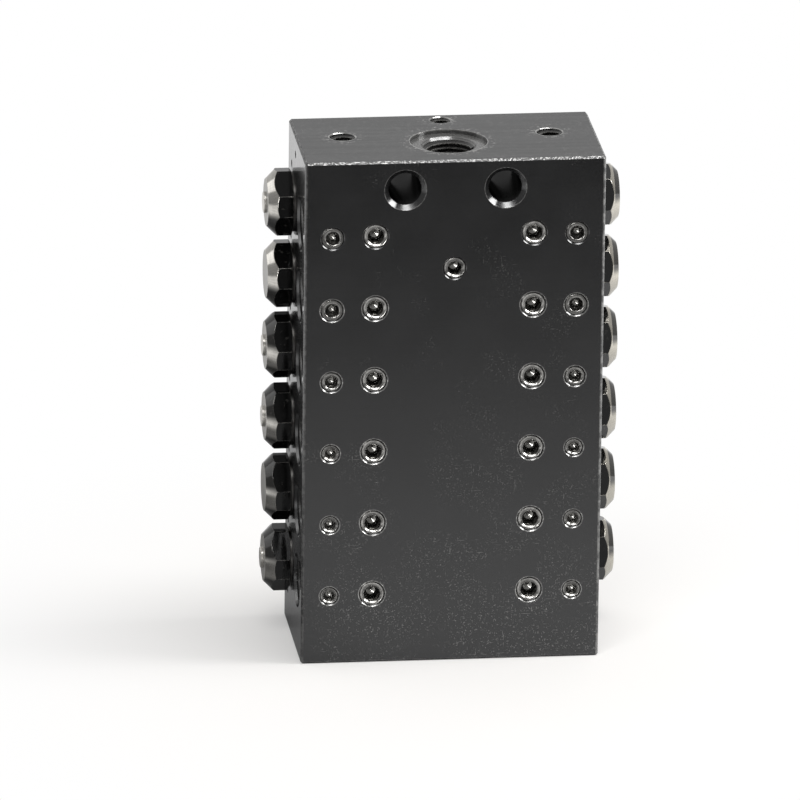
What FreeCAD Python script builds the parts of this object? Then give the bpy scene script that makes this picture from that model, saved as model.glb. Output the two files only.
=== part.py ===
import math
import os
import re

import FreeCAD
import Part
import Sketcher
from FreeCAD import Placement, Rotation, Vector

# Lubricant divider block, in millimetres.
# Origin at the middle of the block's underside: +X right, +Y back, +Z up, front face towards -Y.
# Row 1 is the highest row. The piston bores run along X, and the caps close them on both sides.

SIZES = {
    # block
    "block_width": 60.0,
    "block_depth": 30.0,
    "edge_chamfer": 0.4,
    "corner_radius": 0.6,
    "foot_height": 15.0,
    "row_pitch": 15.0,
    "head_height": 15.0,
    # piston bores and closure caps
    "bore_inset": 7.5,
    "bore_diameter": 7.0,
    "cap_thread": 10.0,
    "cap_entry": 10.9,
    "stem_length": 6.5,
    "stem_chamfer": 0.6,
    "thread_gap": 0.1,
    "neck_length": 1.3,
    "neck_drop": 0.5,
    "gasket_thickness": 0.2,
    "gasket_diameter": 12.0,
    "gasket_gap": 0.2,
    "cap_flats": 12.15,
    "cap_corner_flats": 13.0,
    "cap_height": 5.1,
    "cap_cone": 2.05,
    "cap_face": 9.6,
    "cap_seat": 11.8,
    "cap_seat_chamfer": 0.25,
    "boss_diameter": 4.3,
    "boss_height": 0.55,
    "boss_chamfer": 0.12,
    # spool pistons
    "spool_gap": 0.06,
    "spool_travel": 4.0,
    "end_land": 7.5,
    "spool_waist": 4.6,
    "waist_length": 5.0,
    "nose_diameter": 4.0,
    "nose_length": 1.0,
    "land_chamfer": 0.25,
    # outlet ports
    "port_inset": 8.0,
    "port_thread": 10.0,
    "port_entry": 11.0,
    "port_depth": 10.0,
    "link_diameter": 3.0,
    # plug screws on the front
    "inner_column": 15.8,
    "column_gap": 8.6,
    "inner_drop": 0.5,
    "outer_drop": 0.25,
    "plug_gap": 0.06,
    "plug_recess": 0.15,
    "plug_chamfer": 0.3,
    "plug_entry": 0.2,
    "inner_plug": 5.0,
    "inner_plug_length": 5.0,
    "inner_cone": 3.3,
    "inner_socket": 2.5,
    "large_plug": 4.5,
    "middle_plug": 4.1,
    "small_plug": 3.6,
    "outer_plug_length": 2.4,
    "outer_socket": 1.5,
    "socket_cone": 0.5,
    "inner_socket_depth": 2.2,
    "outer_socket_depth": 1.0,
    "seat_room": 0.4,
    "channel_diameter": 2.5,
    "lock_channel": 2.0,
    # inlet, supply channel and centre plug
    "inlet_inset": 12.5,
    "spot_diameter": 15.5,
    "spot_depth": 0.8,
    "inlet_thread": 10.0,
    "inlet_entry": 11.0,
    "inlet_depth": 11.0,
    "inlet_drill": 4.0,
    "crossing_drop": 7.5,
    "supply_diameter": 3.0,
    "supply_offset": 4.0,
    "supply_foot": 3.0,
    "channel_plug": 4.0,
    "channel_plug_length": 4.0,
    "channel_plug_recess": 3.0,
    "channel_socket": 2.0,
    # holes for fixing
    "mount_spread": 10.0,
    "mount_drop": 6.0,
    "mount_hole": 6.6,
    "mount_entry": 8.4,
    "top_spread": 20.75,
    "top_inset": 17.0,
    "top_thread": 5.0,
    "top_entry": 5.3,
    "top_depth": 9.0,
    "drill_tip": 1.25,
    # small blind holes in the side faces, between the rows and in the head
    "mark_diameter": 1.6,
    "mark_depth": 0.8,
    "mark_tip": 0.45,
    "mark_inset": 6.0,
    "head_mark_inset": 12.5,
    "head_mark_drop": 3.6,
}

ROW_COUNT = 6

# Cone mouth of a plug screw other than the inner ones, as a share of its diameter.
CONE_SHARE = 0.62

# Rows whose left cap has a raised disc on its end.
BOSSED_LEFT_ROWS = (1, 3, 4, 6)

# Degrees by which a cap's flats are turned where it comes tight, from the highest row down.
CAP_TURNS = {"left": (53, 53, 32, 33, 36, 40), "right": (15, 14, 14, 13, 14, 10)}

# Outer plug screws by size: rows below the lowest one of that size, and number of rows.
OUTER_ROW_COUNTS = {"small": (0, 3), "middle": (3, 1), "large": (4, 2)}

# Radius on which an outline starts, before formulas set its places.
ROUGH_RADIUS = 1.0

# Distance within which two places count as the same.
TOUCH = 0.01

# Corner distance of a hexagon over its half width across flats.
HEXAGON_REACH = 1.0 / math.cos(math.pi / 6)

# Places that follow from the sizes.
SIDE = "block_width / 2"
FRONT = "-block_depth / 2"
HIGHEST_ROW = "(foot_height + %d * row_pitch)" % (ROW_COUNT - 1)
TOP = "(%s + head_height)" % HIGHEST_ROW
BORE_Y = "(block_depth / 2 - bore_inset)"
PORT_Y = "(port_inset - block_depth / 2)"
INLET_Y = "(inlet_inset - block_depth / 2)"
SUPPLY_Y = "(block_depth / 2 - bore_inset + supply_offset)"
CROSSING_Z = "(%s - crossing_drop)" % HIGHEST_ROW
OUTER_COLUMN = "(inner_column + column_gap)"

# A cap's head is square with cut corners: half width of a wide flat, and its distance from the axis.
WIDE_HALF = "(cap_corner_flats * %.7f - cap_flats / 2)" % (math.sqrt(2) / 2)
WIDE_PLACE = "(cap_flats / 2)"
CAP_REACH = "((%s ^ 2 + %s ^ 2) ^ 0.5)" % (WIDE_HALF, WIDE_PLACE)

# How a piece that is drawn along +X is turned for the side that its sign gives.
FACING = {1: Rotation(), -1: Rotation(Vector(0, 0, 1), 180)}

doc = FreeCAD.newDocument("LubricantDividerBlock")
sheet = doc.addObject("Spreadsheet::Sheet", "Sizes")
for line, (alias, number) in enumerate(SIZES.items(), start=1):
    sheet.set("A%d" % line, alias.replace("_", " "))
    sheet.set("B%d" % line, str(number))
    sheet.setAlias("B%d" % line, alias)
doc.recompute()

nodes = []


def bound(formula):
    """Write a formula of size names as an expression that reads the sheet."""
    return re.sub(r"[a-z_]+", lambda word: "Sizes." + word.group(), formula)


def origin_part(body, role):
    """Give the plane or axis of a body's own origin by its role."""
    for feature in body.Origin.OriginFeatures:
        if feature.Role == role:
            return feature
    raise ValueError("no origin feature " + role)


def new_sketch(body, label, plane, offset=("0", "0", "0")):
    """Start a sketch on one of the body's origin planes, moved by three formulas."""
    sketch = body.newObject("Sketcher::SketchObject", label)
    sketch.AttachmentSupport = [(origin_part(body, plane), "")]
    sketch.MapMode = "FlatFace"
    for axis, formula in zip("xyz", offset):
        sketch.setExpression("AttachmentOffset.Base." + axis, bound(formula))
    return sketch


def draw_outline(sketch, corners):
    """Draw a closed outline through corners, each a pair of formulas from the sketch's origin."""
    count = len(corners)
    first = sketch.GeometryCount
    start = [ROUGH_RADIUS * Vector(math.cos(math.tau * k / count), math.sin(math.tau * k / count), 0)
             for k in range(count)]
    for k in range(count):
        sketch.addGeometry(Part.LineSegment(start[k], start[(k + 1) % count]))
    for k in range(count):
        follower = first + (k + 1) % count
        sketch.addConstraint(Sketcher.Constraint("Coincident", first + k, 2, follower, 1))
    for k, corner in enumerate(corners):
        for kind, formula, place in zip(("DistanceX", "DistanceY"), corner, start[k]):
            rule = Sketcher.Constraint(kind, -1, 1, first + k, 1, place)
            index = sketch.addConstraint(rule)
            sketch.setExpression("Constraints[%d]" % index, bound(formula))


def draw_ring(sketch, radius):
    """Draw a circle round the sketch's origin."""
    circle = sketch.addGeometry(Part.Circle(Vector(0, 0, 0), Vector(0, 0, 1), ROUGH_RADIUS))
    sketch.addConstraint(Sketcher.Constraint("Coincident", circle, 3, -1, 1))
    index = sketch.addConstraint(Sketcher.Constraint("Radius", circle, ROUGH_RADIUS))
    sketch.setExpression("Constraints[%d]" % index, bound(radius))


def regular_corners(sides, reach):
    """Corners of a regular polygon whose corner distance is a formula."""
    angles = [math.tau * k / sides for k in range(sides)]
    return [("(%s) * %.7f" % (reach, math.cos(angle)), "(%s) * %.7f" % (reach, math.sin(angle)))
            for angle in angles]


def cap_corners():
    """Corners of a cap's head, two at the ends of each of its four wide flats."""
    corners = []
    for across, up in ((1, 0), (0, 1), (-1, 0), (0, -1)):
        for end in (-1, 1):
            corners.append(("%d * %s - %d * %s" % (across, WIDE_PLACE, up * end, WIDE_HALF),
                            "%d * %s + %d * %s" % (up, WIDE_PLACE, across * end, WIDE_HALF)))
    return corners


def turned(body, kind, label, plane, offset, axis, corners):
    """Turn a half section about an axis of its sketch: a Revolution adds, a Groove cuts."""
    sketch = new_sketch(body, label + "Section", plane, offset)
    draw_outline(sketch, corners)
    feature = body.newObject("PartDesign::" + kind, label)
    feature.Profile = sketch
    feature.ReferenceAxis = (sketch, [axis])
    feature.Angle = 360.0
    return feature


def repeated(body, label, features, count):
    """Repeat features upwards, one row pitch apart."""
    pattern = body.newObject("PartDesign::LinearPattern", label)
    pattern.Originals = features
    pattern.Direction = (origin_part(body, "Z_Axis"), [""])
    pattern.setExpression("Length", bound("row_pitch * %d" % (count - 1)))
    pattern.Occurrences = count
    body.Tip = pattern
    return pattern


def new_body(label):
    """Start a body whose label names its node."""
    body = doc.addObject("PartDesign::Body", "Body_" + label)
    body.Label = label
    return body


def place(body, across, back, up, rotation=None):
    """Put a body at three formulas, turned if a rotation is given."""
    body.Placement = Placement(Vector(0, 0, 0), rotation or Rotation())
    for axis, formula in zip("xyz", (across, back, up)):
        body.setExpression("Placement.Base." + axis, bound(formula))


def row_height(row):
    """Height of a row's bore axis, row 1 being the highest."""
    return "(foot_height + %d * row_pitch)" % (ROW_COUNT - row)


def bore_section():
    """Half section of a piston bore with a threaded cap seat at each end."""
    half = [
        (SIDE, "0"),
        (SIDE, "cap_entry / 2"),
        (SIDE + " - (cap_entry - cap_thread) / 2", "cap_thread / 2"),
        (SIDE + " - stem_length", "cap_thread / 2"),
        (SIDE + " - stem_length", "bore_diameter / 2"),
    ]
    other = [("-(%s)" % across, radius) for across, radius in reversed(half)]
    return half + other


def port_section(sign):
    """Half section of an outlet port on the side that the sign gives, with its link drilling."""
    section = [
        (SIDE, "0"),
        (SIDE, "port_entry / 2"),
        (SIDE + " - (port_entry - port_thread) / 2", "port_thread / 2"),
        (SIDE + " - port_depth", "port_thread / 2"),
        (SIDE + " - port_depth", "link_diameter / 2"),
        ("inner_column", "link_diameter / 2"),
        ("inner_column", "0"),
    ]
    return [("%d * (%s)" % (sign, across), radius) for across, radius in section]


def plug_hole_section(plug, length, channel, end):
    """Half section of a plug screw's hole from the front face down to the channel it closes."""
    seat = FRONT + " + plug_recess + %s + seat_room" % length
    return [
        ("0", FRONT),
        (plug + " / 2 + plug_entry", FRONT),
        (plug + " / 2", FRONT + " + plug_entry"),
        (plug + " / 2", seat),
        (channel + " / 2", seat),
        (channel + " / 2", end),
        ("0", end),
    ]


def make_block():
    """Drilled block: rows of bores, ports and plug holes, then the head's inlet and fixing holes."""
    body = new_body("block")
    foot = new_sketch(body, "Foot", "XY_Plane")
    half_x = SIDE
    half_y = "block_depth / 2"
    draw_outline(foot, [("-" + half_x, "-" + half_y), (half_x, "-" + half_y),
                        (half_x, half_y), ("-" + half_x, half_y)])
    pad = body.newObject("PartDesign::Pad", "Billet")
    pad.Profile = foot
    pad.setExpression("Length", bound(TOP))
    doc.recompute()

    # upright edges are rounded, top and bottom edges are chamfered
    upright = []
    for number, edge in enumerate(pad.Shape.Edges, start=1):
        if edge.BoundBox.ZLength > TOUCH:
            upright.append("Edge%d" % number)
    rounded = body.newObject("PartDesign::Fillet", "UprightEdges")
    rounded.Base = (pad, upright)
    rounded.setExpression("Radius", bound("corner_radius"))
    doc.recompute()
    level = []
    top = pad.Shape.BoundBox.ZMax
    for number, edge in enumerate(rounded.Shape.Edges, start=1):
        box = edge.BoundBox
        if box.ZMax < TOUCH or box.ZMin > top - TOUCH:
            level.append("Edge%d" % number)
    chamfered = body.newObject("PartDesign::Chamfer", "LevelEdges")
    chamfered.Base = (rounded, level)
    chamfered.setExpression("Size", bound("edge_chamfer"))
    doc.recompute()

    # one row, drawn at the lowest row and repeated upwards
    low = "foot_height"
    row_features = [turned(body, "Groove", "PistonBore", "XZ_Plane",
                           ("0", low, "-" + BORE_Y), "H_Axis", bore_section())]
    for side, sign in (("Left", -1), ("Right", 1)):
        row_features.append(turned(body, "Groove", side + "Port", "XZ_Plane",
                                   ("0", low, "-" + PORT_Y), "H_Axis", port_section(sign)))
        row_features.append(turned(body, "Groove", side + "InnerHole", "XY_Plane",
                                   ("%d * inner_column" % sign, "0", low + " - inner_drop"), "V_Axis",
                                   plug_hole_section("inner_plug", "inner_plug_length",
                                                     "channel_diameter", BORE_Y)))
    repeated(body, "Rows", row_features, ROW_COUNT)

    # small blind holes half way between the rows, and one more in the left side of the head
    marks = [turned(body, "Groove", side + "Mark", "XZ_Plane",
                    ("0", low + " - row_pitch / 2", "mark_inset - block_depth / 2"),
                    "H_Axis", mark_section(sign))
             for side, sign in (("Left", -1), ("Right", 1))]
    repeated(body, "Marks", marks, ROW_COUNT + 1)
    turned(body, "Groove", "HeadMark", "XZ_Plane",
           ("0", TOP + " - head_mark_drop", "head_mark_inset - block_depth / 2"),
           "H_Axis", mark_section(-1))

    # outer plug holes, three sizes from small at the foot to large at the head
    for tier, (lowest, rows) in OUTER_ROW_COUNTS.items():
        features = []
        for side, sign in (("Left", -1), ("Right", 1)):
            height = "foot_height + %d * row_pitch - inner_drop - outer_drop" % lowest
            features.append(turned(body, "Groove", side + tier.title() + "Hole", "XY_Plane",
                                   ("%d * %s" % (sign, OUTER_COLUMN), "0", height), "V_Axis",
                                   plug_hole_section(tier + "_plug", "outer_plug_length",
                                                     "lock_channel", PORT_Y)))
        if rows > 1:
            repeated(body, tier.title() + "Rows", features, rows)

    # mounting holes through the head, chamfered on both faces
    for side, sign in (("Left", -1), ("Right", 1)):
        half = [("mount_entry / 2", FRONT), ("mount_hole / 2", FRONT + " + (mount_entry - mount_hole) / 2")]
        other = [(radius, "-(%s)" % back) for radius, back in reversed(half)]
        section = [("0", FRONT)] + half + other + [("0", "block_depth / 2")]
        turned(body, "Groove", side + "Mount", "XY_Plane",
               ("%d * mount_spread" % sign, "0", TOP + " - mount_drop"), "V_Axis", section)

    # inlet: spot face, thread and a drilling down to the crossing channel
    spot_floor = TOP + " - spot_depth"
    turned(body, "Groove", "Inlet", "XZ_Plane", ("0", "0", "-" + INLET_Y), "V_Axis", [
        ("0", TOP),
        ("spot_diameter / 2", TOP),
        ("spot_diameter / 2", spot_floor),
        ("inlet_entry / 2", spot_floor),
        ("inlet_thread / 2", spot_floor + " - (inlet_entry - inlet_thread) / 2"),
        ("inlet_thread / 2", TOP + " - inlet_depth"),
        ("inlet_drill / 2", TOP + " - inlet_depth"),
        ("inlet_drill / 2", CROSSING_Z),
        ("0", CROSSING_Z),
    ])

    # crossing channel from the centre plug to the supply channel
    turned(body, "Groove", "Crossing", "XY_Plane", ("0", "0", CROSSING_Z), "V_Axis",
           plug_hole_section("large_plug", "inner_plug_length", "supply_diameter", SUPPLY_Y))

    # supply channel, drilled down from the top through the back of every piston bore
    seat = TOP + " - channel_plug_recess - channel_plug_length - seat_room"
    foot_z = "foot_height - supply_foot"
    turned(body, "Groove", "Supply", "XZ_Plane", ("0", "0", "-" + SUPPLY_Y), "V_Axis", [
        ("0", TOP),
        ("channel_plug / 2 + plug_entry", TOP),
        ("channel_plug / 2", TOP + " - plug_entry"),
        ("channel_plug / 2", seat),
        ("supply_diameter / 2", seat),
        ("supply_diameter / 2", foot_z),
        ("0", foot_z),
    ])

    # threaded holes in the top
    for side, sign in (("Left", -1), ("Right", 1)):
        turned(body, "Groove", side + "TopHole", "XZ_Plane",
               ("%d * top_spread" % sign, "0", "block_depth / 2 - top_inset"), "V_Axis", [
                   ("0", TOP),
                   ("top_entry / 2", TOP),
                   ("top_thread / 2", TOP + " - (top_entry - top_thread) / 2"),
                   ("top_thread / 2", TOP + " - top_depth"),
                   ("0", TOP + " - top_depth - drill_tip"),
               ])
    nodes.append(body)


def mark_section(sign):
    """Half section of a small blind hole in the side that the sign gives."""
    section = [
        (SIDE, "0"),
        (SIDE, "mark_diameter / 2"),
        (SIDE + " - mark_depth", "mark_diameter / 2"),
        (SIDE + " - mark_depth - mark_tip", "0"),
    ]
    return [("%d * (%s)" % (sign, across), radius) for across, radius in section]


def cap_section(bossed):
    """Half section of a closure cap: threaded stem, neck, head and, on some, a raised disc."""
    stem = "(cap_thread - thread_gap) / 2"
    end = "gasket_thickness + cap_height"
    section = [
        ("-stem_length", "0"),
        ("-stem_length", stem + " - stem_chamfer"),
        ("stem_chamfer - stem_length", stem),
        ("-neck_length", stem),
        ("-neck_length", stem + " - neck_drop"),
        ("gasket_thickness", stem + " - neck_drop"),
        ("gasket_thickness", "cap_seat / 2"),
        ("gasket_thickness + cap_seat_chamfer", CAP_REACH),
        (end + " - cap_cone", CAP_REACH),
        (end, "cap_face / 2"),
    ]
    if bossed:
        section += [
            (end, "boss_diameter / 2"),
            (end + " + boss_height - boss_chamfer", "boss_diameter / 2"),
            (end + " + boss_height", "boss_diameter / 2 - boss_chamfer"),
            (end + " + boss_height", "0"),
        ]
    else:
        section.append((end, "0"))
    return section


def make_cap(side, sign, row):
    """Closure cap: a turned blank with eight flats milled round its head."""
    body = new_body("%s_cap_%d" % (side, row))
    bossed = side == "left" and row in BOSSED_LEFT_ROWS
    turned(body, "Revolution", "Blank", "XZ_Plane", ("0", "0", "0"), "H_Axis", cap_section(bossed))
    flats = new_sketch(body, "Flats", "YZ_Plane")
    draw_outline(flats, cap_corners())
    draw_ring(flats, "cap_flats")
    milled = body.newObject("PartDesign::Pocket", "Milling")
    milled.Profile = flats
    milled.Type = "ThroughAll"
    milled.Midplane = True
    turn = Rotation(Vector(1, 0, 0), -sign * CAP_TURNS[side][row - 1])
    place(body, "%d * %s" % (sign, SIDE), BORE_Y, row_height(row), FACING[sign] * turn)
    nodes.append(body)


def make_gasket(side, sign, row):
    """Thin sealing ring under a cap's head."""
    body = new_body("%s_gasket_%d" % (side, row))
    inner = "(cap_thread + gasket_gap) / 2"
    turned(body, "Revolution", "Ring", "XZ_Plane", ("0", "0", "0"), "H_Axis", [
        ("0", inner),
        ("0", "gasket_diameter / 2"),
        ("gasket_thickness", "gasket_diameter / 2"),
        ("gasket_thickness", inner),
    ])
    place(body, "%d * %s" % (sign, SIDE), BORE_Y, row_height(row), FACING[sign])
    nodes.append(body)


def make_spool(row):
    """Spool piston with three lands, two waists and a stop nose at each end."""
    body = new_body("spool_%d" % row)
    land = "(bore_diameter - spool_gap) / 2"
    tip = "(block_width / 2 - stem_length - spool_travel)"
    end = tip + " - nose_length"
    half = [
        (tip, "0"),
        (tip, "nose_diameter / 2"),
        (end, "nose_diameter / 2"),
        (end, land + " - land_chamfer"),
        (end + " - land_chamfer", land),
        (end + " - end_land", land),
        (end + " - end_land", "spool_waist / 2"),
        (end + " - end_land - waist_length", "spool_waist / 2"),
        (end + " - end_land - waist_length", land),
    ]
    other = [("-(%s)" % across, radius) for across, radius in reversed(half)]
    turned(body, "Revolution", "Lands", "XZ_Plane", ("0", "0", "0"), "H_Axis", half + other)
    place(body, "0", BORE_Y, row_height(row))
    nodes.append(body)


def make_plug(label, plug, length, cone, socket, socket_depth):
    """Headless plug screw: its outer face has a shallow cone that leads into a hexagon socket."""
    body = new_body(label)
    radius = "(%s - plug_gap) / 2" % plug
    turned(body, "Revolution", "Screw", "XY_Plane", ("0", "0", "0"), "V_Axis", [
        ("0", length),
        (radius + " - plug_chamfer", length),
        (radius, length + " - plug_chamfer"),
        (radius, "plug_chamfer / 2"),
        (radius + " - plug_chamfer / 2", "0"),
        ("(%s) / 2" % cone, "0"),
        (socket + " / 2", "socket_cone"),
        ("0", "socket_cone"),
    ])
    hexagon = new_sketch(body, "Hexagon", "XZ_Plane")
    draw_outline(hexagon, regular_corners(6, "%s / 2 * %.7f" % (socket, HEXAGON_REACH)))
    cut = body.newObject("PartDesign::Pocket", "Socket")
    cut.Profile = hexagon
    cut.setExpression("Length", bound("socket_cone + " + socket_depth))
    return body


def make_inner_plugs(side, sign):
    """Column of equal plug screws that close the channels to the piston bores."""
    column = []
    for row in range(1, ROW_COUNT + 1):
        plug = make_plug("%s_inner_plug_%d" % (side, row), "inner_plug", "inner_plug_length",
                         "inner_cone", "inner_socket", "inner_socket_depth")
        place(plug, "%d * inner_column" % sign, FRONT + " + plug_recess",
              row_height(row) + " - inner_drop")
        column.append(plug)
    gather("%s_inner_plugs" % side, column)


def make_outer_plugs(side, sign):
    """Column of plug screws over the outlet ports, in three sizes."""
    column = []
    for tier, (lowest, rows) in OUTER_ROW_COUNTS.items():
        for step in range(lowest, lowest + rows):
            row = ROW_COUNT - step
            cone = "%s_plug * %.2f" % (tier, CONE_SHARE)
            plug = make_plug("%s_outer_plug_%d" % (side, row), tier + "_plug", "outer_plug_length",
                             cone, "outer_socket", "outer_socket_depth")
            place(plug, "%d * %s" % (sign, OUTER_COLUMN), FRONT + " + plug_recess",
                  row_height(row) + " - inner_drop - outer_drop")
            column.append(plug)
    gather("%s_outer_plugs" % side, column)


def gather(label, pieces):
    """Group like pieces as one node of separate solids."""
    group = doc.addObject("Part::Compound", "Group_" + label)
    group.Label = label
    group.Links = pieces
    nodes.append(group)


make_block()
for row in range(1, ROW_COUNT + 1):
    for side, sign in (("left", -1), ("right", 1)):
        make_cap(side, sign, row)
        make_gasket(side, sign, row)
    make_spool(row)
for side, sign in (("left", -1), ("right", 1)):
    make_inner_plugs(side, sign)
    make_outer_plugs(side, sign)

centre_plug = make_plug("centre_plug", "large_plug", "inner_plug_length",
                        "large_plug * %.2f" % CONE_SHARE, "inner_socket", "inner_socket_depth")
place(centre_plug, "0", FRONT + " + plug_recess", CROSSING_Z)
nodes.append(centre_plug)

supply_plug = make_plug("supply_plug", "channel_plug", "channel_plug_length",
                        "channel_plug * %.2f" % CONE_SHARE, "channel_socket", "inner_socket_depth")
place(supply_plug, "0", SUPPLY_Y, TOP + " - channel_plug_recess", Rotation(Vector(1, 0, 0), -90))
nodes.append(supply_plug)

doc.recompute()
for item in doc.Objects:
    if "Invalid" in item.State or "Error" in item.State:
        raise RuntimeError("%s failed: %s" % (item.Label, item.State))
for node in nodes:
    if node.Shape.isNull() or not node.Shape.isValid():
        raise RuntimeError("%s has no valid shape" % node.Label)

os.makedirs("parts", exist_ok=True)
for node in nodes:
    node.Shape.exportStep(os.path.join("parts", node.Label + ".step"))
    print("%-20s solids %d volume %.2f" % (node.Label, len(node.Shape.Solids), node.Shape.Volume))
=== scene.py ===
import math
from collections import namedtuple

import bmesh
import bpy
from mathutils import Matrix, Vector


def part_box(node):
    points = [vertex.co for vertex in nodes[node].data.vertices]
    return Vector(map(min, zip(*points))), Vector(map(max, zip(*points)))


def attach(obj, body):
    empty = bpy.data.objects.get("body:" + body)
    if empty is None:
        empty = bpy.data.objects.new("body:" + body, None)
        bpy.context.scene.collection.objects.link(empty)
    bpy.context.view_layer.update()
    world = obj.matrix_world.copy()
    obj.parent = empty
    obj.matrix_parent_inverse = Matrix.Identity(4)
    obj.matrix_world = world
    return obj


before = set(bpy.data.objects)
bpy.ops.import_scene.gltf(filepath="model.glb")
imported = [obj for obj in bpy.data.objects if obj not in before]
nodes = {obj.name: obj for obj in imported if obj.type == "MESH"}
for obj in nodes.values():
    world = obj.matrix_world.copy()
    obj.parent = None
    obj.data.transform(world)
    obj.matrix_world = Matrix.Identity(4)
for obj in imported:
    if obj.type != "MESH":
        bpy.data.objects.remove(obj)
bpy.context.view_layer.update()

# Looks of the lubricant divider block: finishes of its nodes, threads in its holes, studio and camera.

MM = 0.001
BODY = "housing"
ROWS = 6


def middle(node):
    """Middle of a node's box."""
    low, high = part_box(node)
    return (low + high) / 2


# Faces of the block and axes of the caps, read from the frame, in metres.
BLOCK_LOW, BLOCK_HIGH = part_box("block")
FRONT = BLOCK_LOW.y
TOP = BLOCK_HIGH.z
SIDE = BLOCK_HIGH.x
ROW_HEIGHTS = [middle("right_cap_%d" % row).z for row in range(1, ROWS + 1)]
ROW_PITCH = ROW_HEIGHTS[0] - ROW_HEIGHTS[1]
BORE_Y = middle("right_cap_1").y
CAP_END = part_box("right_cap_1")[1].x

# Outlet ports in the sides.
PORT_Y = FRONT + 8.0 * MM
PORT_DEPTH = 10.0 * MM

# Inlet in the top, with its spot face.
INLET_Y = FRONT + 12.5 * MM
INLET_DEPTH = 11.0 * MM
SPOT_DEPTH = 0.8 * MM
SPOT_RADIUS = 7.75 * MM

# Threaded holes in the top, for fixing and for the supply channel's plug screw.
TOP_HOLE_X = 20.75 * MM
TOP_HOLE_Y = FRONT + 17.0 * MM
TOP_HOLE_DEPTH = 9.0 * MM
SUPPLY_Y = BORE_Y + 4.0 * MM
SUPPLY_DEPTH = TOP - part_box("supply_plug")[1].z

# Mouths of the holes in the top: distance from the middle, place in the depth, and radius.
TOP_MOUTHS = ((TOP_HOLE_X, TOP_HOLE_Y, 2.65 * MM), (0.0, SUPPLY_Y, 2.1 * MM), (0.0, INLET_Y, SPOT_RADIUS))

# Threads: radius of the hole's wall, pitch, height of the ridge, start below the face, and length.
Cut = namedtuple("Cut", "radius pitch ridge start length")
OUTLET_THREAD = Cut(5.0 * MM, 1.0 * MM, 0.50 * MM, 0.9 * MM, PORT_DEPTH - 2.0 * MM)
INLET_THREAD = Cut(5.0 * MM, 1.0 * MM, 0.50 * MM, SPOT_DEPTH + 0.9 * MM, INLET_DEPTH - SPOT_DEPTH - 2.0 * MM)
TOP_THREAD = Cut(2.5 * MM, 0.8 * MM, 0.40 * MM, 0.6 * MM, TOP_HOLE_DEPTH - 1.5 * MM)
SUPPLY_THREAD = Cut(2.0 * MM, 0.7 * MM, 0.32 * MM, 0.5 * MM, SUPPLY_DEPTH - 1.0 * MM)

# Steps in a thread's turn, and how deep its root sits in the hole's wall.
THREAD_STEPS = 40
THREAD_SINK = 0.03 * MM

# Half the width of a thread's tooth at its root and at its crest, as shares of the pitch.
ROOT_WIDTH = 0.46
CREST_WIDTH = 0.10

# Mounting holes through the block, drilled along Y.
MOUNT_X = 10.0 * MM
MOUNT_Z = TOP - 6.0 * MM
MOUNT_RADIUS = 3.3 * MM
MOUNT_ENTRY = 4.2 * MM

# Broken edges: 0 to 1 between these sums of the distances from the two faces that meet there.
CHAMFER_REACH = (0.52 * MM, 0.42 * MM)
CORNER_REACH = (0.62 * MM, 0.46 * MM)

# Radii of the mouths of the plug screws' holes on the front, and the height below which they are rubbed.
INNER_MOUTH = 2.70 * MM
SMALL_MOUTH = 2.00 * MM
MIDDLE_MOUTH = 2.25 * MM
LARGE_MOUTH = 2.45 * MM
RUBBED_BELOW = TOP - 22.0 * MM

# Plug screws on the front: radii of the socket and of the dished face, and depth of the socket's end.
Screw = namedtuple("Screw", "socket face foot")
INNER_SCREW = Screw(0.90 * MM, 2.30 * MM, 2.8 * MM)
OUTER_SCREW = Screw(0.50 * MM, 1.75 * MM, 1.6 * MM)
CENTRE_SCREW = Screw(0.90 * MM, 2.10 * MM, 2.8 * MM)

# Turned end of a cap's head: radius of its flat end and length of its cone.
CAP_FACE_RADIUS = 4.8 * MM
CAP_CONE = 2.05 * MM

# Rows whose left cap has a bright cone.
SILVER_ROWS = (1, 2)

# Wear: widths of the rubbed rims, reach of the scuffs, rounding of the caps' edges, heights of the specks.
RIM_WIDTH = 0.16 * MM
MOUTH_WIDTH = 0.26 * MM
MOUNT_RIM_WIDTH = 0.15 * MM
SCUFF_REACH = 3.0 * MM
CAP_EDGE = 0.18 * MM
SPECKS_START = 34.0 * MM
SPECKS_FULL = 6.0 * MM

# Spacing of the cutter's rings in the spot face and of the lathe's rings on the plug screws.
CUTTER_RINGS = 0.30 * MM
LATHE_RINGS = 0.15 * MM

# Steels and oxides.
OXIDE_DARK = (0.006, 0.006, 0.0064, 1)
OXIDE_LIGHT = (0.026, 0.026, 0.0265, 1)
# The next colour is painted shade, laid far inside the mounting holes.
PAINTED_HOLE_SHADE = (0.012, 0.012, 0.012, 1)
WORN_EDGE = (0.70, 0.69, 0.67, 1)
CAP_BLACK = (0.004, 0.004, 0.004, 1)
CAP_RUBBED = (0.03, 0.029, 0.027, 1)
RIGHT_CONE = (0.78, 0.74, 0.65, 1)
SILVER_CONE = (0.62, 0.60, 0.56, 1)
BLACK_CONE = (0.66, 0.64, 0.60, 1)
# The next colour is painted shade on the sides of the plug screws' sockets.
PAINTED_SOCKET_SHADE = (0.09, 0.088, 0.085, 1)
SOCKET_END = (0.60, 0.59, 0.56, 1)
INNER_STEEL = (0.64, 0.6272, 0.6016, 1)
OUTER_STEEL = (0.48, 0.4704, 0.4512, 1)
CENTRE_STEEL = (0.52, 0.51, 0.49, 1)
SUPPLY_STEEL = (0.3, 0.29, 0.28, 1)
GASKET_STEEL = (0.13, 0.125, 0.12, 1)
SPOOL_STEEL = (0.62, 0.62, 0.61, 1)
THREAD_DARK = (0.008, 0.008, 0.008, 1)
THREAD_LIGHT = (0.05, 0.049, 0.047, 1)
THREAD_CREST = (0.50, 0.49, 0.47, 1)
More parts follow.
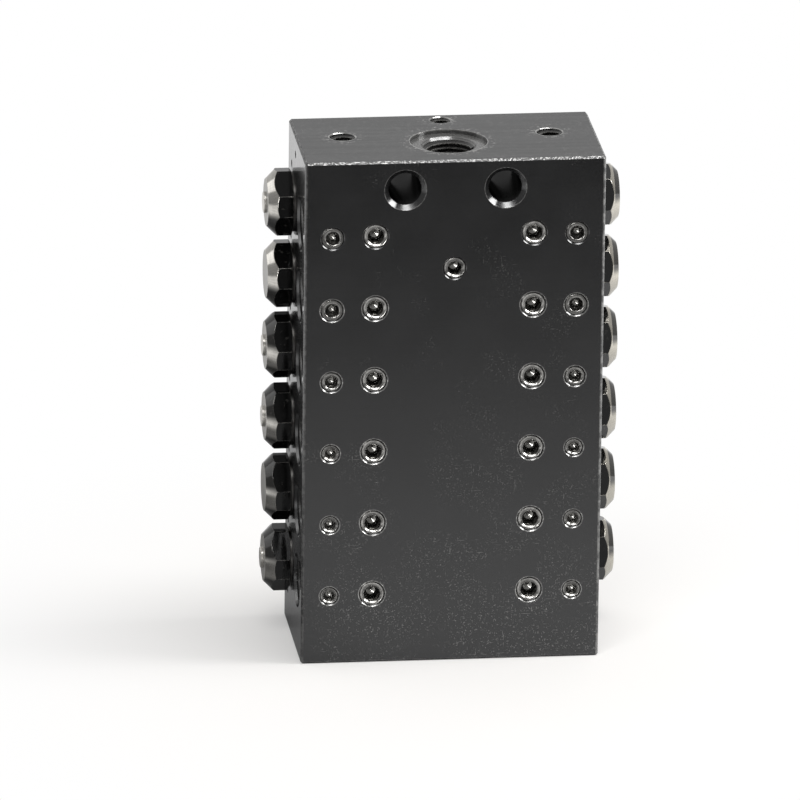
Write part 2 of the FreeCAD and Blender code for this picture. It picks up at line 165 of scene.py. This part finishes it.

# Studio: what the camera sees of the floor, and the floor's painted shade in front and painted light behind,
# which the object gets in mirrors and bounced light.
FLOOR_SEEN = (0.90, 0.88, 0.855, 1)
PAINTED_FLOOR_SHADE_FRONT = (0.08, 0.08, 0.08, 1)
PAINTED_FLOOR_LIGHT_BEHIND = (0.55, 0.55, 0.55, 1)
WHITE = (1, 1, 1, 1)

# Half the floor's width, in metres.
FLOOR_REACH = 1.6

# Soft boxes: name, place, width and height in metres, and power in watts. All face LAMP_TARGET.
LAMP_TARGET = Vector((0, 0, 0.05))
LAMPS = (("top_box", (0.1, -0.19, 0.75), 1.3, 0.12, 4.6),
         ("right_box", (0.75, -0.10, 0.55), 0.30, 0.4, 4.5),
         ("left_box", (-0.8, 0.40, 0.47), 0.6, 0.3, 0.6),
         ("front_box", (-0.42, -1.10, 0.16), 0.26, 0.22, 2.0))

# Camera of the photograph: angles in degrees, distance and target in metres, focal length and width
# of the picture in pixels, width of the sensor in millimetres.
CAMERA_ELEVATION = 18.7
CAMERA_AZIMUTH = 7.0
CAMERA_ROLL = 0.70
CAMERA_DISTANCE = 2.7
CAMERA_TARGET = Vector((-8.78 * MM, 0.0, 50.12 * MM))
FOCAL_PIXELS = 13500
FRAME_PIXELS = 800
SENSOR_WIDTH = 36.0


class Field:
    """A shader socket that takes part in sums, products and comparisons."""

    def __init__(self, tree, socket):
        self.tree = tree
        self.socket = socket

    def math(self, operation, *others):
        """Result of one Math operation on the value and the others."""
        sockets = dict(enumerate((self,) + others))
        return self.tree.node("ShaderNodeMath", {"operation": operation}, sockets)

    def __add__(self, other):
        return self.math("ADD", other)

    def __sub__(self, other):
        return self.math("SUBTRACT", other)

    def __mul__(self, other):
        return self.math("MULTIPLY", other)

    def __truediv__(self, other):
        return self.math("DIVIDE", other)

    def __rsub__(self, other):
        return (self * -1.0) + other

    __radd__ = __add__
    __rmul__ = __mul__

    def __abs__(self):
        return self.math("ABSOLUTE")

    def over(self, low, high):
        """0 below low, 1 above high, smooth between them; turned round where high is the lower."""
        sockets = {"Value": self, "From Min": low, "From Max": high}
        return self.tree.node("ShaderNodeMapRange", {"interpolation_type": "SMOOTHSTEP"}, sockets)

    def most(self):
        """The value, but at most 1."""
        return self.math("MINIMUM", 1.0)


class Tree:
    """A node tree that is written as expressions."""

    def __init__(self, tree):
        self.tree = tree

    def node(self, kind, settings=None, sockets=None, output=0):
        """Add a node: its settings first, then the values or links of its sockets."""
        made = self.tree.nodes.new(kind)
        for setting, value in (settings or {}).items():
            setattr(made, setting, value)
        for socket, value in (sockets or {}).items():
            if isinstance(value, Field):
                self.tree.links.new(value.socket, made.inputs[socket])
            else:
                made.inputs[socket].default_value = value
        return Field(self, made.outputs[output]) if made.outputs else made

    def blend(self, share, first, second):
        """Colour that goes from first to second with a share."""
        return self.node("ShaderNodeMix", {"data_type": "RGBA"}, {0: share, 6: first, 7: second}, 2)

    def axes(self, place, names):
        """The named parts of a vector."""
        return [self.node("ShaderNodeSeparateXYZ", sockets={0: place}, output=name) for name in names]


class Finish(Tree):
    """A material under construction, with its surface shader and the piece's own coordinates."""

    def __init__(self, name, **constants):
        self.material = bpy.data.materials.new(name)
        self.material.use_nodes = True
        super().__init__(self.material.node_tree)
        self.shader = self.tree.nodes["Principled BSDF"]
        for socket, value in constants.items():
            self.shader.inputs[socket.replace("_", " ")].default_value = value
        self.place = self.node("ShaderNodeTexCoord", output="Object")
        self.x, self.y, self.z = self.axes(self.place, "XYZ")

    def noise(self, scale, detail, stretch=(1.0, 1.0, 1.0), turn=(0.0, 0.0, 0.0)):
        """Noise of that scale per metre, which may be drawn out along an axis."""
        place = self.node("ShaderNodeMapping", {"vector_type": "POINT"},
                          {"Vector": self.place, "Scale": stretch, "Rotation": turn})
        return self.node("ShaderNodeTexNoise", {"noise_dimensions": "3D"},
                         {"Vector": place, "Scale": scale, "Detail": detail})

    def distance(self, *steps):
        """Length of a vector given by its parts."""
        total = steps[0] * steps[0]
        for step in steps[1:]:
            total = total + step * step
        return total.math("SQRT")

    def relief(self, height, depth, strength=1.0, ground=None):
        """Raise the surface by a height from 0 to 1, times a depth in metres."""
        sockets = {"Height": height, "Distance": depth, "Strength": strength}
        if ground:
            sockets["Normal"] = ground
        self.set(Normal=self.node("ShaderNodeBump", {}, sockets))

    def cover(self, share, shader):
        """Lay a second shader over the surface where share is 1."""
        surface = Field(self, self.shader.outputs[0])
        mixed = self.node("ShaderNodeMixShader", {}, {0: share, 1: surface, 2: shader})
        self.tree.links.new(mixed.socket, self.tree.nodes["Material Output"].inputs["Surface"])

    def set(self, **links):
        """Link fields to the surface shader's sockets."""
        for socket, value in links.items():
            self.tree.links.new(value.socket, self.shader.inputs[socket.replace("_", " ")])


def near(field, target, reach):
    """1 where a coordinate is at the target, 0 from reach away."""
    return abs(field - target).over(reach, 0.0)


def rings(radius, spacing):
    """Turning marks round an axis, from 0 to 1 and back in every spacing."""
    return (radius * (math.tau / spacing)).math("SINE") * 0.5 + 0.5


def dimmed(colour, share):
    """A colour at a share of its brightness."""
    return tuple(part * share for part in colour[:3]) + (1,)


def row_step(finish, lowest):
    """Height above the axis of the nearest row, for holes that repeat at the row pitch."""
    step = finish.z - (lowest - ROW_PITCH / 2)
    return step.math("FLOORED_MODULO", ROW_PITCH) - ROW_PITCH / 2


def plug_row(node):
    """Height of the lowest screw's axis in a column."""
    low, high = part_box(node)
    heights = [v.co.z for v in nodes[node].data.vertices if v.co.z < low.z + ROW_PITCH / 2]
    return (min(heights) + max(heights)) / 2


def rim_columns(finish):
    """Columns of plug screws on the front: distance from the middle, lowest axis, mouth radius."""
    yield middle("right_inner_plugs").x, plug_row("right_inner_plugs"), INNER_MOUTH
    # The outer screws grow from small at the foot to middle in row 3 and large in rows 1 and 2.
    third, second = ROW_HEIGHTS[2] - ROW_PITCH / 2, ROW_HEIGHTS[1] - ROW_PITCH / 2
    outer = finish.z.over(third, third + 0.1 * MM) * (MIDDLE_MOUTH - SMALL_MOUTH) + SMALL_MOUTH
    outer = outer + finish.z.over(second, second + 0.1 * MM) * (LARGE_MOUTH - MIDDLE_MOUTH)
    yield middle("right_outer_plugs").x, plug_row("right_outer_plugs"), outer


def plug_rims(finish):
    """1 on the mouths of the plug screws' holes in the front, below the first row."""
    rims = 0.0
    for column, lowest, radius in rim_columns(finish):
        reach = finish.distance(abs(finish.x) - column, row_step(finish, lowest))
        from_lowest = finish.z - (lowest - ROW_PITCH / 2)
        rims = near(reach - radius, 0.0, RIM_WIDTH) * from_lowest.over(0.0, 0.1 * MM) + rims
    return rims * near(finish.y, FRONT, 0.25 * MM) * finish.z.over(RUBBED_BELOW, RUBBED_BELOW - 1.0 * MM)


def broken_edges(finish):
    """1 on the block's chamfers, and 1 on its upright corners."""
    front = abs(abs(finish.y) + FRONT)
    side = abs(abs(finish.x) - SIDE)
    level = abs(abs(finish.z - TOP / 2) - TOP / 2)
    chamfers = (front + level).over(*CHAMFER_REACH) + (side + level).over(*CHAMFER_REACH)
    return chamfers, (front + side).over(*CORNER_REACH)


def specks_and_hairs(finish):
    """Light specks and fine scratches, in patches that grow towards the foot."""
    patches = (finish.noise(88.0, 3.0) + finish.z.over(TOP, 0.0) * 0.20).over(0.56, 0.76)
    foot = finish.z.over(SPECKS_START, SPECKS_FULL)
    specks = finish.noise(3300.0, 2.0).over(0.61, 0.70) * (foot * 0.12 + 0.13)
    hairs = finish.noise(420.0, 2.0, (1.0, 1.0, 14.0), (0.7, 0.5, 0.0)).over(0.70, 0.74)
    hairs = hairs + finish.noise(380.0, 2.0, (12.0, 1.0, 1.0), (0.2, 0.9, 0.3)).over(0.71, 0.75)
    return (specks + hairs * 0.24) * patches


def top_wear(finish, upper, chips):
    """Scuffs on the top, thicker round its holes, and the holes' rubbed mouths."""
    around = 0.0
    mouths = 0.0
    for across, depth, radius in TOP_MOUTHS:
        reach = finish.distance(abs(finish.x) - across, finish.y - depth)
        around = reach.over(radius + SCUFF_REACH, radius) + around
        mouths = near(reach, radius, MOUTH_WIDTH) + mouths
    marks = finish.noise(2300.0, 4.0, (0.6, 1.0, 1.0)).over(0.56, 0.70)
    scuffs = (around * 0.8 + 0.10) * marks * upper
    return scuffs, mouths * near(finish.z, TOP, 0.30 * MM) * (chips * 0.7 + 0.3)


def spot_face(finish, breaks):
    """Cutter's rings in the sunk spot face of the inlet."""
    from_inlet = finish.distance(finish.x, finish.y - INLET_Y)
    inside = from_inlet.over(SPOT_RADIUS + 0.15 * MM, SPOT_RADIUS - 0.1 * MM)
    sunk = finish.z.over(TOP - 0.05 * MM, TOP - 0.2 * MM) * finish.z.over(TOP - 2.6 * MM, TOP - 2.2 * MM)
    return inside * sunk * (rings(from_inlet, CUTTER_RINGS) * 0.14 + breaks * 0.08 + 0.05)


def black_block():
    """Ground steel under a black oxide: faint mottling, light specks, edges and rims worn bright, and
    painted shade far inside the mounting holes.
    """
    finish = Finish("black_block", IOR=1.9)
    mottle = finish.noise(70.0, 5.0)
    grain = finish.noise(2600.0, 2.0)
    ground = finish.noise(900.0, 3.0, (0.05, 1.0, 1.0))
    breaks = finish.noise(2900.0, 4.0).over(0.42, 0.62)
    chips = finish.noise(900.0, 4.0).over(0.42, 0.62)
    upper = near(finish.z, TOP, 0.12 * MM)
    flank = near(abs(finish.x), SIDE, 0.05 * MM)

    chamfers, corners = broken_edges(finish)
    rightwards = finish.x.over(-SIDE / 2, SIDE / 2) * 0.7 + 0.3
    worn = chamfers * breaks * 0.26 + corners * (chips * 0.35 + 0.10) * rightwards
    rims = plug_rims(finish) * (breaks * 0.7 + 0.3)
    scuffs, mouths = top_wear(finish, upper, chips)
    from_mount = finish.distance(abs(finish.x) - MOUNT_X, finish.z - MOUNT_Z)
    mount_rims = near(from_mount, MOUNT_ENTRY, MOUNT_RIM_WIDTH) * near(finish.y, FRONT, 0.2 * MM)
    bare = worn + rims + mouths + mount_rims * (breaks * 0.3 + 0.1) + spot_face(finish, breaks)

    bright = (bare + scuffs * 0.75 + specks_and_hairs(finish)).most()
    cloud = mottle.over(0.35, 0.65)
    dark = finish.blend(cloud * 0.5 + grain.over(0.3, 0.7) * 0.5, OXIDE_DARK, OXIDE_LIGHT)
    thin = cloud * 0.08 + ground.over(0.40, 0.65) * upper * 0.16 + flank * 0.25
    dull_edges = chamfers * (1.0 - breaks) * 0.40
    finish.set(Base_Color=finish.blend(bright, dark, WORN_EDGE),
               Metallic=(bare + scuffs * 0.7 + thin).most(),
               Roughness=mottle * 0.08 + grain * 0.05 + ground * 0.05 + dull_edges + 0.09)
    finish.relief(grain + ground, 0.015 * MM, 0.30)

    # Painted shade: far inside the mounting holes a dark matt layer is laid over the steel.
    inside = from_mount.over(MOUNT_RADIUS + 0.1 * MM, MOUNT_RADIUS)
    painted_hole_shade = inside * finish.y.over(FRONT + 0.5 * MM, FRONT + 1.5 * MM)
    finish.cover(painted_hole_shade * 0.8, finish.node("ShaderNodeBsdfDiffuse", {}, {"Color": PAINTED_HOLE_SHADE}))
    return finish.material


def cap_finish(name, cone_steel, cone_share, band_from, band_to, gloss, shoulder=0.0):
    """Glossy black oxide on a cap's flats, its turned end rubbed towards bare steel, and a bare band on its
    cone that is painted reflection.

    The cone's bare band lies between two heights above the cap's axis, placed where the cone mirrors bright
    surroundings: painted reflection. A shoulder bares the cone's foot.
    """
    finish = Finish(name, IOR=gloss)
    wave = finish.noise(260.0, 2.0)
    turned = finish.noise(1500.0, 2.0, (1.0, 0.15, 0.15))
    height = row_step(finish, ROW_HEIGHTS[-1])
    radius = finish.distance(finish.y - BORE_Y, height)
    from_end = CAP_END - abs(finish.x)

    # Painted reflection: the cone is bare steel only in a band of heights where it mirrors bright
    # surroundings.
    painted_band_and_shoulder = height.over(band_from - 1.0 * MM, band_from + 1.0 * MM)
    painted_band_and_shoulder = painted_band_and_shoulder * height.over(band_to + 1.0 * MM, band_to - 1.0 * MM) * 0.96 + 0.04
    painted_band_and_shoulder = (painted_band_and_shoulder + from_end.over(1.0 * MM, 1.3 * MM) * shoulder).most()
    cone = near(radius - from_end, CAP_FACE_RADIUS, 0.10 * MM)
    cone = cone * (1.0 - from_end.over(CAP_CONE, CAP_CONE * 1.02))
    end = from_end.over(0.05 * MM, 0.0)
    boss = from_end.over(-0.10 * MM, -0.20 * MM)
    bare = (cone * painted_band_and_shoulder * (turned * 0.3 + cone_share) + end * 0.55 + boss * 0.6).most()

    rounded = finish.node("ShaderNodeBevel", {"samples": 6}, {"Radius": CAP_EDGE})
    facing = finish.node("ShaderNodeNewGeometry", output="Normal")
    turn = finish.node("ShaderNodeVectorMath", {"operation": "DOT_PRODUCT"},
                       {0: rounded, 1: facing}, "Value")
    edge = turn.over(0.995, 0.93) * finish.noise(700.0, 3.0).over(0.30, 0.55)
    # Besides edges worn bright, this share holds the painted reflection band on the cone and the bare end
    # and boss.
    worn = (bare + edge * (1.0 - cone)).most()
    black = finish.blend(finish.noise(800.0, 4.0).over(0.62, 0.72), CAP_BLACK, CAP_RUBBED)
    finish.set(Base_Color=finish.blend(worn, black, cone_steel), Metallic=worn,
               Roughness=wave * 0.05 + bare * 0.05 + end * 0.25 + 0.05)
    finish.relief(wave + turned * bare * 0.4, 0.02 * MM, 0.3, rounded)
    return finish.material


def plug_steel(name, across, lowest, ring, screw):
    """Turned steel of a column of plug screws: a dished face round a drilled socket, painted dark inside as
    shade.
    """
    finish = Finish(name, Metallic=1.0)
    radius = finish.distance(finish.x - across, row_step(finish, lowest))
    stains = finish.noise(1000.0, 3.0)
    depth = finish.y - FRONT
    sunk = depth.over(0.5 * MM, 1.0 * MM)
    end = depth.over(screw.foot - 0.1 * MM, screw.foot)
    dish_width = screw.face - screw.socket
    steel = finish.blend(stains.over(0.35, 0.7), ring, dimmed(ring, 0.6))
    # Painted shade: from about 1 mm down, the socket's sides are darkened, all but its steel end.
    steel_and_socket_shade = finish.blend(sunk, steel, PAINTED_SOCKET_SHADE)
    finish.set(Base_Color=finish.blend(end, steel_and_socket_shade, SOCKET_END), Roughness=stains * 0.12 + 0.20 - end * 0.06)
    dish = radius.over(screw.socket, screw.face) + rings(radius, LATHE_RINGS) * 0.005
    drilled = end * radius / dish_width * 0.42
    finish.relief(dish + drilled, 0.78 * dish_width)
    return finish.material


def plain_steel(name, colour, roughness):
    """Clean machined steel with fine turning marks along X."""
    finish = Finish(name, Metallic=1.0)
    marks = finish.noise(1800.0, 2.0, (6.0, 1.0, 1.0))
    finish.set(Base_Color=finish.blend(marks, colour, dimmed(colour, 0.7)),
               Roughness=marks * 0.15 + roughness)
    finish.relief(marks, 0.01 * MM, 0.4)
    return finish.material


def thread_steel():
    """Cut thread under the oxide, with its crests rubbed bright."""
    finish = Finish("cut_thread", IOR=1.7)
    marks = finish.noise(2400.0, 2.0)
    crest = finish.node("ShaderNodeAttribute", {"attribute_name": "crest"}, output="Fac").over(0.80, 1.0)
    flank = finish.blend(marks, THREAD_DARK, THREAD_LIGHT)
    finish.set(Base_Color=finish.blend(crest * (marks * 0.4 + 0.5), flank, THREAD_CREST),
               Metallic=(marks.over(0.4, 0.8) * 0.6 + crest * 0.6).most(),
               Roughness=marks * 0.15 + 0.10)
    return finish.material


def dress(node, material):
    """Give a node's object one material."""
    slots = nodes[node].data.materials
    slots.clear()
    slots.append(material)


def dress_caps_and_spools():
    """Finish of the closure caps, their sealing rings and the spools."""
    # The heights given here place each cone's painted reflection band.
    right_cap = cap_finish("right_cap_steel", RIGHT_CONE, 0.80, -9.0 * MM, 0.2 * MM,
                           gloss=2.0, shoulder=1.0)
    silver_cap = cap_finish("silver_cap_steel", SILVER_CONE, 0.80, -1.2 * MM, 9.0 * MM, gloss=1.42)
    black_cap = cap_finish("black_cap_steel", BLACK_CONE, 0.78, -2.6 * MM, 1.0 * MM, gloss=1.42)
    gasket = plain_steel("gasket_steel", GASKET_STEEL, 0.30)
    spool = plain_steel("spool_steel", SPOOL_STEEL, 0.12)
    for row in range(1, ROWS + 1):
        dress("spool_%d" % row, spool)
        dress("right_cap_%d" % row, right_cap)
        dress("left_cap_%d" % row, silver_cap if row in SILVER_ROWS else black_cap)
        for side in ("left", "right"):
            dress("%s_gasket_%d" % (side, row), gasket)


def dress_plugs():
    """Finish of the plug screws on the front and in the top."""
    columns = (("inner", INNER_STEEL, INNER_SCREW), ("outer", OUTER_STEEL, OUTER_SCREW))
    for side in ("left", "right"):
        for column, steel, screw in columns:
            node = "%s_%s_plugs" % (side, column)
            dress(node, plug_steel(node + "_steel", middle(node).x, plug_row(node), steel, screw))
    centre = plug_steel("centre_plug_steel", 0.0, middle("centre_plug").z, CENTRE_STEEL, CENTRE_SCREW)
    dress("centre_plug", centre)
    dress("supply_plug", plain_steel("supply_plug_steel", SUPPLY_STEEL, 0.3))


def thread(name, cut, place, turn, material):
    """Helical ridge inside a hole: a tooth profile turned and advanced, then placed at its start."""
    shape = bmesh.new()
    crest = shape.verts.layers.float.new("crest")
    root = cut.radius + THREAD_SINK
    tip = cut.radius - cut.ridge
    profile = [(root, ROOT_WIDTH), (tip, CREST_WIDTH), (tip, -CREST_WIDTH), (root, -ROOT_WIDTH)]
    tooth = [shape.verts.new((reach, 0, along * cut.pitch)) for reach, along in profile]
    shape.faces.new(tooth)
    for corner, (reach, _) in zip(tooth, profile):
        corner[crest] = float(reach == tip)
    turns = cut.length / cut.pitch
    bmesh.ops.spin(shape, geom=shape.verts[:] + shape.edges[:] + shape.faces[:], cent=(0, 0, 0),
                   axis=(0, 0, 1), dvec=(0, 0, -cut.pitch / THREAD_STEPS), angle=math.tau * turns,
                   steps=round(THREAD_STEPS * turns), use_merge=False, use_duplicate=False)
    bmesh.ops.recalc_face_normals(shape, faces=shape.faces[:])
    bmesh.ops.transform(shape, matrix=Matrix.Translation(place) @ turn, verts=shape.verts[:])
    mesh = bpy.data.meshes.new(name)
    shape.to_mesh(mesh)
    shape.free()
    mesh.materials.append(material)
    piece = bpy.data.objects.new(name, mesh)
    bpy.context.scene.collection.objects.link(piece)
    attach(piece, BODY)


def cut_threads():
    """Threads of the outlet ports, the inlet and the holes in the top."""
    steel = thread_steel()
    upright = Matrix.Identity(4)
    for side, sign in (("left", -1), ("right", 1)):
        sideways = Matrix.Rotation(sign * math.pi / 2, 4, "Y")
        for row, height in enumerate(ROW_HEIGHTS, start=1):
            port = Vector((sign * (SIDE - OUTLET_THREAD.start), PORT_Y, height))
            thread("%s_outlet_thread_%d" % (side, row), OUTLET_THREAD, port, sideways, steel)
        hole = Vector((sign * TOP_HOLE_X, TOP_HOLE_Y, TOP - TOP_THREAD.start))
        thread(side + "_top_thread", TOP_THREAD, hole, upright, steel)
    inlet = Vector((0, INLET_Y, TOP - INLET_THREAD.start))
    thread("inlet_thread", INLET_THREAD, inlet, upright, steel)
    supply = Vector((0, SUPPLY_Y, TOP - SUPPLY_THREAD.start))
    thread("supply_thread", SUPPLY_THREAD, supply, upright, steel)


def pale_floor():
    """Pale floor that glows away from the object, so that it runs into the white behind; to all but the
    camera it shows painted shade, painted light and a painted shadow.
    """
    shape = bmesh.new()
    bmesh.ops.create_grid(shape, x_segments=1, y_segments=1, size=FLOOR_REACH)
    mesh = bpy.data.meshes.new("floor")
    shape.to_mesh(mesh)
    shape.free()
    floor = bpy.data.objects.new("floor", mesh)
    bpy.context.scene.collection.objects.link(floor)
    material = bpy.data.materials.new("pale_floor")
    material.use_nodes = True
    mesh.materials.append(material)
    material.node_tree.nodes.clear()
    tree = Tree(material.node_tree)
    seen = tree.node("ShaderNodeLightPath", output="Is Camera Ray")
    mirrored = tree.node("ShaderNodeLightPath", output="Is Glossy Ray")
    across, depth = tree.axes(tree.node("ShaderNodeTexCoord", output="Object"), "XY")
    reach = (across * across + depth * depth).math("SQRT")

    # For all but camera rays the floor's colour is painted: painted shade in front, painted light behind,
    # and a painted shadow close by at the left.
    painted_floor_shadow = reach.over(0.16, 0.10) * across.over(-0.01, -0.07) * depth.over(-0.10, -0.02)
    painted_floor_light_and_shade = tree.blend(depth.over(-0.36, 0.02) * (1.0 - painted_floor_shadow * 0.9), PAINTED_FLOOR_SHADE_FRONT, PAINTED_FLOOR_LIGHT_BEHIND)
    pale = tree.blend(seen, painted_floor_light_and_shade, FLOOR_SEEN)
    matt = tree.node("ShaderNodeBsdfPrincipled", {},
                     {"Base Color": pale, "Roughness": 1.0, "Specular IOR Level": 0.0})

    # Its glow, for the camera and for what the object mirrors far behind and far beside it.
    glow = tree.node("ShaderNodeEmission", {}, {"Strength": 1.0})
    beside = abs(across).over(0.10, 0.22) * depth.over(-0.25, -0.05)
    behind = depth.over(0.08, 0.28)
    backdrop = seen * (reach.over(0.02, 0.13) * 0.70 + 0.30) + mirrored * (behind + beside).most()
    surface = tree.node("ShaderNodeMixShader", {}, {0: backdrop.most(), 1: matt, 2: glow})
    tree.node("ShaderNodeOutputMaterial", {}, {"Surface": surface})


def plain_world():
    """White to the camera; to the object a grey room, lighter at the back and dimmer at the right."""
    world = bpy.data.worlds.new("studio")
    bpy.context.scene.world = world
    world.use_nodes = True
    world.node_tree.nodes.clear()
    tree = Tree(world.node_tree)
    seen = tree.node("ShaderNodeLightPath", output="Is Camera Ray")
    right, back = tree.axes(tree.node("ShaderNodeTexCoord", output="Generated"), "XY")
    level = (back.over(-0.5, 0.9) * 0.42 + 0.18) * (1.0 - right.over(0.3, 0.7) * 0.3)
    room = tree.node("ShaderNodeBackground", {}, {"Color": WHITE, "Strength": level})
    white = tree.node("ShaderNodeBackground", {}, {"Color": WHITE, "Strength": 1.0})
    surface = tree.node("ShaderNodeMixShader", {}, {0: seen, 1: room, 2: white})
    tree.node("ShaderNodeOutputWorld", {}, {"Surface": surface})


def lamp(name, place, width, height, power):
    """Soft box at a place, turned to the object."""
    data = bpy.data.lights.new(name, "AREA")
    data.shape = "RECTANGLE"
    data.size = width
    data.size_y = height
    data.energy = power
    box = bpy.data.objects.new(name, data)
    bpy.context.scene.collection.objects.link(box)
    box.location = place
    box.rotation_euler = (LAMP_TARGET - Vector(place)).to_track_quat("-Z", "Y").to_euler()


def studio():
    """Pale floor, plain world and soft boxes."""
    pale_floor()
    plain_world()
    for settings in LAMPS:
        lamp(*settings)


def photo_camera():
    """Camera of the photograph: a long lens, from the front left and a little above."""
    elevation = math.radians(CAMERA_ELEVATION)
    azimuth = math.radians(CAMERA_AZIMUTH)
    ahead = Vector((math.sin(azimuth) * math.cos(elevation), math.cos(azimuth) * math.cos(elevation),
                    -math.sin(elevation)))
    data = bpy.data.cameras.new("photo_camera")
    data.sensor_width = SENSOR_WIDTH
    data.lens = SENSOR_WIDTH * FOCAL_PIXELS / FRAME_PIXELS
    data.clip_start = 0.1
    data.clip_end = 20.0
    camera = bpy.data.objects.new("photo_camera", data)
    bpy.context.scene.collection.objects.link(camera)
    camera.rotation_mode = "QUATERNION"
    roll = Matrix.Rotation(math.radians(CAMERA_ROLL), 4, "Z").to_quaternion()
    camera.rotation_quaternion = ahead.to_track_quat("-Z", "Y") @ roll
    camera.location = CAMERA_TARGET - ahead * CAMERA_DISTANCE
    bpy.context.scene.camera = camera


photo_camera()
dress("block", black_block())
dress_caps_and_spools()
dress_plugs()
cut_threads()
studio()

bpy.context.scene.view_settings.view_transform = "Standard"
